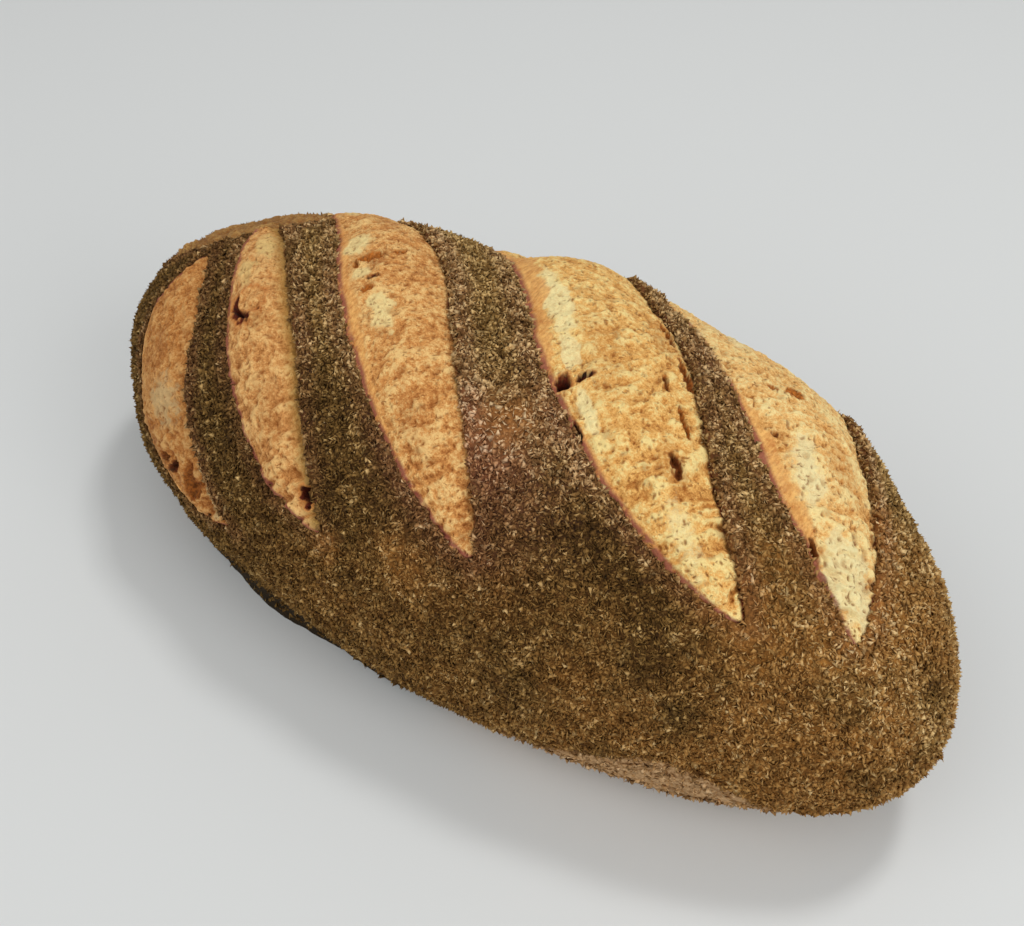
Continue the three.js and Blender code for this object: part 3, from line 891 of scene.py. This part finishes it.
def bloom_piece(slash):
    """A bloom as a closed piece: the relief on top, and below it a root down inside the loaf."""
    top, (x, angle), numbers = bloom_surface(slash)
    rows_along, rows_across = top.shape[:2]
    faces, corners = grid_faces(rows_along, rows_across)
    faces = [face[::-1] for face in faces]
    corners = corners.reshape(-1, 4, 2)[:, ::-1].reshape(-1, 2) * [1, 0.97]
    root = crust_points(x[:, [0, -1]], angle[:, [0, -1]], -ROOT)
    start = rows_along * rows_across
    strip = []
    for i in range(rows_along - 1):
        a, b = start + 2 * i, start + 2 * i + 1
        left, right = i * rows_across, i * rows_across + rows_across - 1
        strip.append((left, left + rows_across, a + 2, a))
        strip.append((right, b, b + 2, right + rows_across))
        strip.append((a, a + 2, b + 2, b))
    first_end = [*range(rows_across), start + 1, start]
    last = (rows_along - 1) * rows_across
    root_end = start + 2 * rows_along - 1
    last_end = [*range(last + rows_across - 1, last - 1, -1), root_end - 1, root_end]
    share = np.linspace(0, 1, len(strip) + 1)
    below = [[[a, 0.98], [b, 0.98], [b, 1.0], [a, 1.0]] for a, b in zip(share[:-1], share[1:])]
    ends = np.zeros((len(first_end) + len(last_end), 2)) + [0, 1]
    corners = np.vstack([corners, np.array(below).reshape(-1, 2), ends])
    points = np.vstack([top.reshape(-1, 3), root.reshape(-1, 3)])
    for name, values in numbers.items():
        numbers[name] = np.append(values.ravel(), np.zeros(root.size // 3))
    faces = faces + strip + [first_end, last_end]
    return make_piece(f"bloom_{slash.name}", points, faces, corners, numbers)


blooms = [bloom_piece(slash) for slash in SLASHES]

# %% [markdown]
# ## Bloom material
# The colour of a bloom follows how hot it got, with painted shade in its hollows. The crumb is
# golden, toasted here and there and cream where it tore last, its valleys are painted browner as
# shade, and the skin at the left edge is orange. Short strokes are brown, small pits are painted
# brown as their shade, shallow tears are warm brown pockets, and deep ones are painted nearly black
# as the shade inside them. A thin wine-red line runs where the crust meets the bloom at the left,
# and the right edge lies in an olive shade under the lip, which is broad on the second bloom. The
# blooms at the left were baked harder and lie in less light, so each one gets its own, darker
# colours in the same recipe: partly their own colour and partly painted shade.

# %% Bloom materials
# The pale, gold, brown and cream of each bloom, darker toward the left: partly their own baked colour and
# partly painted shade, as the left blooms lie in less light
BLOOM_LOOKS = {
    "first": ((220, 168, 102), (196, 130, 64), (144, 84, 36), (214, 184, 130)),
    "second": ((240, 192, 122), (214, 150, 84), (160, 100, 44), (236, 202, 130)),
    "third": ((248, 204, 132), (220, 154, 84), (166, 98, 42), (248, 224, 156)),
    "fourth": ((255, 226, 150), (242, 184, 102), (188, 122, 54), (255, 238, 174)),
    "fifth": ((255, 228, 158), (244, 190, 114), (196, 130, 60), (250, 234, 176)),
    "shoulder": ((186, 142, 80), (158, 112, 58), (124, 82, 40), (186, 142, 80)),
}
ORANGE_DARK, ORANGE_LIGHT = tint(204, 124, 58), tint(255, 196, 114)
WINE = tint(150, 76, 68)
# The dark end is painted shade inside deep tears; the warm red brown ends that shade and also draws the
# line along the right edge
HOLE_SHADE_DARK, HOLE_WARM = tint(34, 12, 6), tint(104, 38, 16)
POCKET_DARK, POCKET_LIGHT = tint(134, 76, 24), tint(206, 122, 46)
# The brown of the short strokes, also painted into the pits as their shade
PIT_SHADE_AND_STROKES = tint(142, 76, 20)
SHADED = tint(168, 128, 58)
TEXTURE_SIZES = (0.45, 1.1, 3.4, 10)
# The width in mm and the strength of the shade under the right lip
SHADES = {"second": (6.5, 0.8)}
COMMON_SHADE = (2.6, 0.6)


def bloom_finish(name):
    finish = Finish(f"bloom_{name}")
    pale, gold, brown, cream = (tint(*colour) for colour in BLOOM_LOOKS[name])
    fine, small, middle, broad = (finish.noise(size, 3.0) for size in TEXTURE_SIZES)
    valley, from_right = finish.number("valley"), finish.number("from_right")
    bare = 1 - finish.number("skin")
    # Toast from noise, plus painted shade that browns the valleys of the crumb
    toast_and_valley_shade = (valley * 0.7 + broad * 0.6 + middle * 0.45 + small * 1.3 + fine * 1.1 - 1.66).clamped()
    colour = finish.ramp(toast_and_valley_shade, [(0.12, pale), (0.5, gold), (0.95, brown)])
    creamy = (finish.number("cream") + small * 1.2 - 0.6).step(0.22, 0.65)
    colour = finish.mix(creamy * (1.3 - small), colour, cream)
    colour = finish.mix((finish.number("scorch") * (small * 1.4)).clamped(), colour, brown)
    streaks = finish.noise(0.8, 2.0, (1, 0.35, 1))
    orange = finish.ramp(streaks * 0.6 + middle * 0.4, [(0.34, ORANGE_DARK), (0.62, ORANGE_LIGHT)])
    colour = finish.mix(finish.number("skin") * 0.85, colour, orange)
    # Painted shade: the pits turn brown
    colour = finish.mix(finish.number("pits") * bare * 0.75, colour, PIT_SHADE_AND_STROKES)
    strokes = (1 - finish.cells(1.5, 2.2).step(0.1, 0.3)) * middle.step(0.4, 0.55) * bare
    colour = finish.mix(strokes * 0.7, colour, PIT_SHADE_AND_STROKES)
    shade_width, shade_share = SHADES.get(name, COMMON_SHADE)
    colour = finish.mix((1 - from_right.step(1.0, shade_width)) * shade_share, colour, SHADED)
    colour = finish.mix((1 - from_right.step(1.4, 2.5)) * middle.step(0.4, 0.58), colour, HOLE_WARM)
    colour = finish.mix(finish.number("burnt") * 0.75, colour, ORANGE_DARK)
    wine = (1 - finish.number("from_left").step(1.5, 2.9)) * (middle.step(0.3, 0.5) * 0.85)
    colour = finish.mix(wine, colour, WINE)
    # Painted shade: deep tears go nearly black inside, while shallow ones are warm brown pockets
    hole = finish.ramp(middle, [(0.4, HOLE_SHADE_DARK), (0.6, HOLE_WARM)])
    pocket = finish.ramp(small, [(0.36, POCKET_DARK), (0.64, POCKET_LIGHT)])
    colour = finish.mix(finish.number("torn"), colour, finish.mix(finish.number("deep"), pocket, hole))
    normal = finish.bump(fine * 0.8 + small * 0.6, 0.8, 1.0)
    return finish.surface(colour, 0.75, 0.2, normal)


for bloom, slash in zip(blooms, SLASHES):
    bloom.data.materials.append(bloom_finish(slash.name))
print("bloom materials:", len(blooms))

# %% [markdown]
# ## The bran
# Wheat bran is thin scraps of husk, one to three millimetres long, and finer curled fibres. There
# are far too many to place by hand, so Geometry Nodes scatters them over the crust: points wherever
# the crust says it is covered, one small scrap on each point, laid down with a random lean and
# turn, and a random tone stored on each scrap. Flakes and curls are spindles that the tree makes
# from a bent curve, and chips are low three-sided cones, which have only four triangles each. The
# width and thickness of a scrap come from its random size.


# %% Tree helper
def tree_node(tree, kind, settings=None, inputs=None):
    """A node of a Geometry Nodes tree, with its settings and the values or links of its inputs."""
    node = tree.nodes.new(kind)
    for key, value in (settings or {}).items():
        setattr(node, key, value)
    for key, value in (inputs or {}).items():
        if isinstance(value, bpy.types.NodeSocket):
            tree.links.new(value, node.inputs[key])
        else:
            node.inputs[key].default_value = value
    return node


# %% Shapes of a scrap
CHIP_TRIANGLES = 4
SPINDLE_SIDES = 3


def chip_shape(add):
    """A low, three-sided chip."""
    sizes = {"Vertices": 3, "Radius Top": 0.0, "Radius Bottom": 0.5, "Depth": 1.0}
    return add("GeometryNodeMeshCone", {"fill_type": "NGON"}, sizes).outputs[0]


def spindle_shape(add, bend, segments):
    """A spindle one unit long with pointed ends, bent upward in its middle."""
    peak = add("ShaderNodeCombineXYZ", None, {"Z": bend}).outputs[0]
    path = {"Resolution": 6, "Start": (-0.5, 0, 0), "Middle": peak, "End": (0.5, 0, 0)}
    curve = add("GeometryNodeCurveQuadraticBezier", None, path).outputs[0]
    curve = add("GeometryNodeResampleCurve", None, {"Curve": curve, "Count": segments + 1}).outputs[0]
    factor = add("GeometryNodeSplineParameter").outputs["Factor"]
    wave = add("ShaderNodeMath", {"operation": "MULTIPLY"}, {0: factor, 1: math.pi}).outputs[0]
    radius = add("ShaderNodeMath", {"operation": "SINE"}, {0: wave}).outputs[0]
    circle = {"Resolution": SPINDLE_SIDES, "Radius": 0.5}
    ring = add("GeometryNodeCurvePrimitiveCircle", None, circle).outputs[0]
    tube = {"Curve": curve, "Profile Curve": ring, "Scale": radius}
    mesh = add("GeometryNodeCurveToMesh", None, tube).outputs[0]
    mesh = add("GeometryNodeMergeByDistance", None, {"Geometry": mesh, "Distance": 0.001}).outputs[0]
    return add("GeometryNodeTriangulate", None, {"Mesh": mesh}).outputs[0]


# %% Scatter tree
SCRAP_INPUTS = {
    "Density": "NodeSocketFloat",
    "Seed": "NodeSocketInt",
    "Smallest": "NodeSocketVector",
    "Largest": "NodeSocketVector",
    "Lean": "NodeSocketVector",
    "Bend": "NodeSocketFloat",
    "Material": "NodeSocketMaterial",
}
TURN_SEED, SIZE_SEED, TONE_SEED = 3, 7, 11


def scatter_tree(name, segments):
    """The tree that strews scraps over a mesh: spindles of some segments, or chips for none."""
    tree = bpy.data.node_groups.new(name, "GeometryNodeTree")
    tree.interface.new_socket("Geometry", in_out="INPUT", socket_type="NodeSocketGeometry")
    tree.interface.new_socket("Geometry", in_out="OUTPUT", socket_type="NodeSocketGeometry")
    for label, kind in SCRAP_INPUTS.items():
        tree.interface.new_socket(label, in_out="INPUT", socket_type=kind)

    def add(*given):
        return tree_node(tree, *given)

    def random_vector(low, high, seed):
        inputs = {0: low, 1: high, "Seed": seed}
        return add("FunctionNodeRandomValue", {"data_type": "FLOAT_VECTOR"}, inputs).outputs[0]

    given = add("NodeGroupInput").outputs
    cover = add("GeometryNodeInputNamedAttribute", {"data_type": "FLOAT"}, {"Name": "cover"}).outputs[0]
    density = add("ShaderNodeMath", {"operation": "MULTIPLY"}, {0: cover, 1: given["Density"]}).outputs[0]
    places = {"Mesh": given["Geometry"], "Density": density, "Seed": given["Seed"]}
    points = add("GeometryNodeDistributePointsOnFaces", {"distribute_method": "RANDOM"}, places).outputs
    most = {0: given["Lean"], 1: (0, 0, math.tau)}
    most = add("ShaderNodeVectorMath", {"operation": "ADD"}, most).outputs[0]
    least = {0: given["Lean"], "Scale": -1.0}
    least = add("ShaderNodeVectorMath", {"operation": "SCALE"}, least).outputs[0]
    turn = {"Rotation": points["Rotation"], "Rotate By": random_vector(least, most, TURN_SEED)}
    turn = add("FunctionNodeRotateRotation", {"rotation_space": "LOCAL"}, turn).outputs[0]
    size = random_vector(given["Smallest"], given["Largest"], SIZE_SEED)
    shape = spindle_shape(add, given["Bend"], segments) if segments else chip_shape(add)
    scraps = {"Points": points["Points"], "Instance": shape, "Rotation": turn, "Scale": size}
    scraps = add("GeometryNodeInstanceOnPoints", None, scraps).outputs[0]
    tone = add("FunctionNodeRandomValue", {"data_type": "FLOAT"}, {"Seed": TONE_SEED}).outputs[1]
    toned = {"Geometry": scraps, "Name": "tone", "Value": tone}
    store = {"data_type": "FLOAT", "domain": "INSTANCE"}
    toned = add("GeometryNodeStoreNamedAttribute", store, toned).outputs[0]
    real = add("GeometryNodeRealizeInstances", None, {"Geometry": toned}).outputs[0]
    finished = {"Geometry": real, "Material": given["Material"]}
    finished = add("GeometryNodeSetMaterial", None, finished).outputs[0]
    tree.links.new(finished, tree.nodes.new("NodeGroupOutput").inputs[0])
    return tree


# %% [markdown]
# ## Bran material
# A scrap of bran is dark brown, straw or nearly white, and the coat looks grey-brown from a step
# away because all of them are mixed. The tone on each scrap picks the colour. Noise shifts the
# tones of neighbours together, so the coat has lighter and darker tufts, and the zones of the crust
# turn it toward gold or plum, as the baked skin under it does. On the top of the right half and at
# the right end it is painted paler, as the light that falls there.

# %% Bran materials
# Colours from the darkest to the lightest tone
BRAN_STOPS = [(0.05, (58, 38, 12)), (0.4, (98, 70, 30)), (0.72, (140, 106, 54)), (1.0, (214, 178, 116))]
GOLD_STOPS = [(0.05, (98, 61, 21)), (0.4, (152, 106, 51)), (0.72, (191, 146, 84)), (1.0, (232, 199, 142))]
PLUM_STOPS = [(0.05, (84, 42, 24)), (0.4, (140, 90, 56)), (0.72, (188, 136, 98)), (1.0, (234, 200, 166))]
FOOT_STOPS = [(0.05, (110, 74, 38)), (0.4, (158, 120, 76)), (0.72, (196, 156, 110)), (1.0, (232, 202, 160))]


def bran_finish(name, darker):
    finish = Finish(name)
    shift = finish.noise(9, 2.0) * 0.5 + finish.noise(2.6, 2.0) * 1.1 - (0.72 + darker)
    # The pale zone lifts the tone: painted light on the top of the right half and the right end
    tone = (finish.number("tone") * 0.5 + finish.number("pale") * 0.24 + 0.17 + shift).clamped()
    straw, gold, plum, foot = (
        finish.ramp(tone, [(place, tint(*colour)) for place, colour in stops])
        for stops in (BRAN_STOPS, GOLD_STOPS, PLUM_STOPS, FOOT_STOPS)
    )
    colour = finish.mix(finish.number("golden") * 0.9, straw, gold)
    colour = finish.mix(finish.number("plum") * 0.8, colour, plum)
    colour = finish.mix(finish.number("foot") * 0.9, colour, foot)
    return finish.surface(colour, 0.8, 0.15)


# %% [markdown]
# ## Scattering the coat
# Each layer of bran is a piece of its own, so that none grows past two hundred thousand triangles.
# The tree runs once on a copy of the crust, its result becomes a plain mesh, and every scrap gets
# a small square of its own on the flat map, which keeps its colour when the model is baked.


# %% Bran pieces
MAP_MARGIN = 0.1


def covered_area(host):
    """The area of a piece in square metres, counted by how far bran covers it."""
    mesh = host.data
    area, cover = np.zeros(len(mesh.polygons)), np.zeros(len(mesh.vertices))
    mesh.polygons.foreach_get("area", area)
    mesh.attributes["cover"].data.foreach_get("value", cover)
    first = np.array([polygon.vertices[0] for polygon in mesh.polygons])
    return float((area * cover[first]).sum())


def add_scrap_map(mesh, faces_each):
    """A square of the flat map for each scrap, shared out over its triangles."""
    triangles = len(mesh.polygons)
    side = math.ceil(math.sqrt(triangles / faces_each))
    face = np.arange(triangles)
    scrap = face // faces_each
    halves = np.array([[[0, 0], [1, 0], [0, 1]], [[1, 1], [0, 1], [1, 0]]])
    cell = np.stack([scrap % side, scrap // side], -1)[:, None, :]
    corners = (cell + MAP_MARGIN + (1 - 2 * MAP_MARGIN) * halves[face % 2]) / side
    flat = mesh.uv_layers.new(name="OFBake")
    flat.data.foreach_set("uv", corners.astype(np.float32).ravel())


def scatter(name, host, count, values, segments, seed):
    """A piece of about count scraps over the host."""
    carrier = bpy.data.objects.new(name + "_carrier", host.data.copy())
    bpy.context.collection.objects.link(carrier)
    modifier = carrier.modifiers.new("scatter", "NODES")
    modifier.node_group = scatter_tree(name, segments)
    values = {**values, "Density": count / covered_area(host), "Seed": seed}
    for socket in modifier.node_group.interface.items_tree:
        if socket.name in values:
            modifier[socket.identifier] = values[socket.name]
    evaluated = carrier.evaluated_get(bpy.context.evaluated_depsgraph_get())
    mesh = bpy.data.meshes.new_from_object(evaluated)
    bpy.data.objects.remove(carrier)
    mesh.name = name
    for spare in ("OFBake", "cover"):
        if spare in mesh.attributes:
            mesh.attributes.remove(mesh.attributes[spare])
    faces_each = 2 * SPINDLE_SIDES * (segments - 1) if segments else CHIP_TRIANGLES
    add_scrap_map(mesh, faces_each)
    piece = bpy.data.objects.new(name, mesh)
    bpy.context.collection.objects.link(piece)
    print(f"{name}: {len(mesh.polygons) // faces_each} scraps, {len(mesh.polygons)} triangles")
    return piece


# %% The coat
# Sizes are length, width and thickness in mm, and the lean is in radians either way
FLAKES = {"Smallest": (0.8, 0.5, 0.3), "Largest": (1.7, 1.1, 0.6), "Lean": (0.4, 0.4, 0), "Bend": 0.4}
CHIPS = {"Smallest": (0.9, 0.6, 0.25), "Largest": (1.7, 1.2, 0.5), "Lean": (0.5, 0.5, 0)}
CURLS = {"Smallest": (1.2, 0.14, 1.2), "Largest": (2.8, 0.24, 2.6), "Lean": (1.4, 0.6, 0), "Bend": 0.6}
# Each layer has its name, kind, count, segments of a spindle, how much darker it is, and its seed
COAT = [
    ("bran_flakes", FLAKES, 31500, 2, 0.02, 31),
    ("bran_chips_a", CHIPS, 47000, 0, 0.08, 32),
    ("bran_chips_b", CHIPS, 47000, 0, 0.0, 33),
    ("bran_curls_a", CURLS, 31500, 2, -0.05, 34),
    ("bran_curls_b", CURLS, 31500, 2, 0.0, 35),
]
coat = []
for name, kind, count, segments, darker, seed in COAT:
    sizes = {key: tuple(size * MM for size in kind[key]) for key in ("Smallest", "Largest")}
    values = {**kind, **sizes, "Material": bran_finish(name, darker)}
    coat.append(scatter(name, crust, count, values, segments, seed))

# %% [markdown]
# ## Riding on the frame
# The loaf is one rigid body. Every piece rides on it, and the crust and the blooms together stand
# for the plain solid.

# %% Bodies
for piece in [crust, *blooms, *coat]:
    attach(piece, "root")
for piece in [crust, *blooms]:
    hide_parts("loaf")
print("pieces riding on the loaf:", 1 + len(blooms) + len(coat))

# %% [markdown]
# ## Floor and light
# The loaf lies on a plain pale surface in a bright room. A lamp high up behind it gives the soft
# shadow toward the camera, two broad lamps light it from the front and from the right, and an even
# sky fills the rest.


# %% Lamps
LAMPS_LOOK_AT = Vector((0, 0, 0.03))


def lamp(name, place, energy, size):
    """A square lamp that looks at the loaf, with its place and size in metres and energy in watts."""
    light = bpy.data.lights.new(name, "AREA")
    light.energy, light.size = energy, size
    item = bpy.data.objects.new(name, light)
    item.location = place
    item.rotation_euler = (LAMPS_LOOK_AT - Vector(place)).to_track_quat("-Z", "Y").to_euler()
    bpy.context.collection.objects.link(item)


lamp("key", (0.18, 0.52, 1.5), 6.2, 0.25)
lamp("side", (1.7, -0.3, 1.1), 16, 1.2)
lamp("front", (-0.5, -1.6, 1.4), 16, 2.0)

# %% Floor and sky
HALF_FLOOR = 3.0
FLOOR_COLOUR = tint(214, 216, 215)
SKY_STRENGTH = 0.43
floor_mesh = bpy.data.meshes.new("floor")
floor_corners = [(x * HALF_FLOOR, y * HALF_FLOOR, 0) for x, y in ((-1, -1), (1, -1), (1, 1), (-1, 1))]
floor_mesh.from_pydata(floor_corners, [], [(0, 1, 2, 3)])
floor = bpy.data.objects.new("floor", floor_mesh)
bpy.context.collection.objects.link(floor)
floor.data.materials.append(Finish("floor").surface(FLOOR_COLOUR, 0.6, 0.5))

sky = bpy.data.worlds.new("sky")
sky.use_nodes = True
background = sky.node_tree.nodes["Background"].inputs
background["Color"].default_value = (1, 1, 1, 1)
background["Strength"].default_value = SKY_STRENGTH
bpy.context.scene.world = sky
bpy.context.scene.view_settings.view_transform = "Standard"
print("floor of", 2 * HALF_FLOOR, "m under a sky of strength", SKY_STRENGTH)
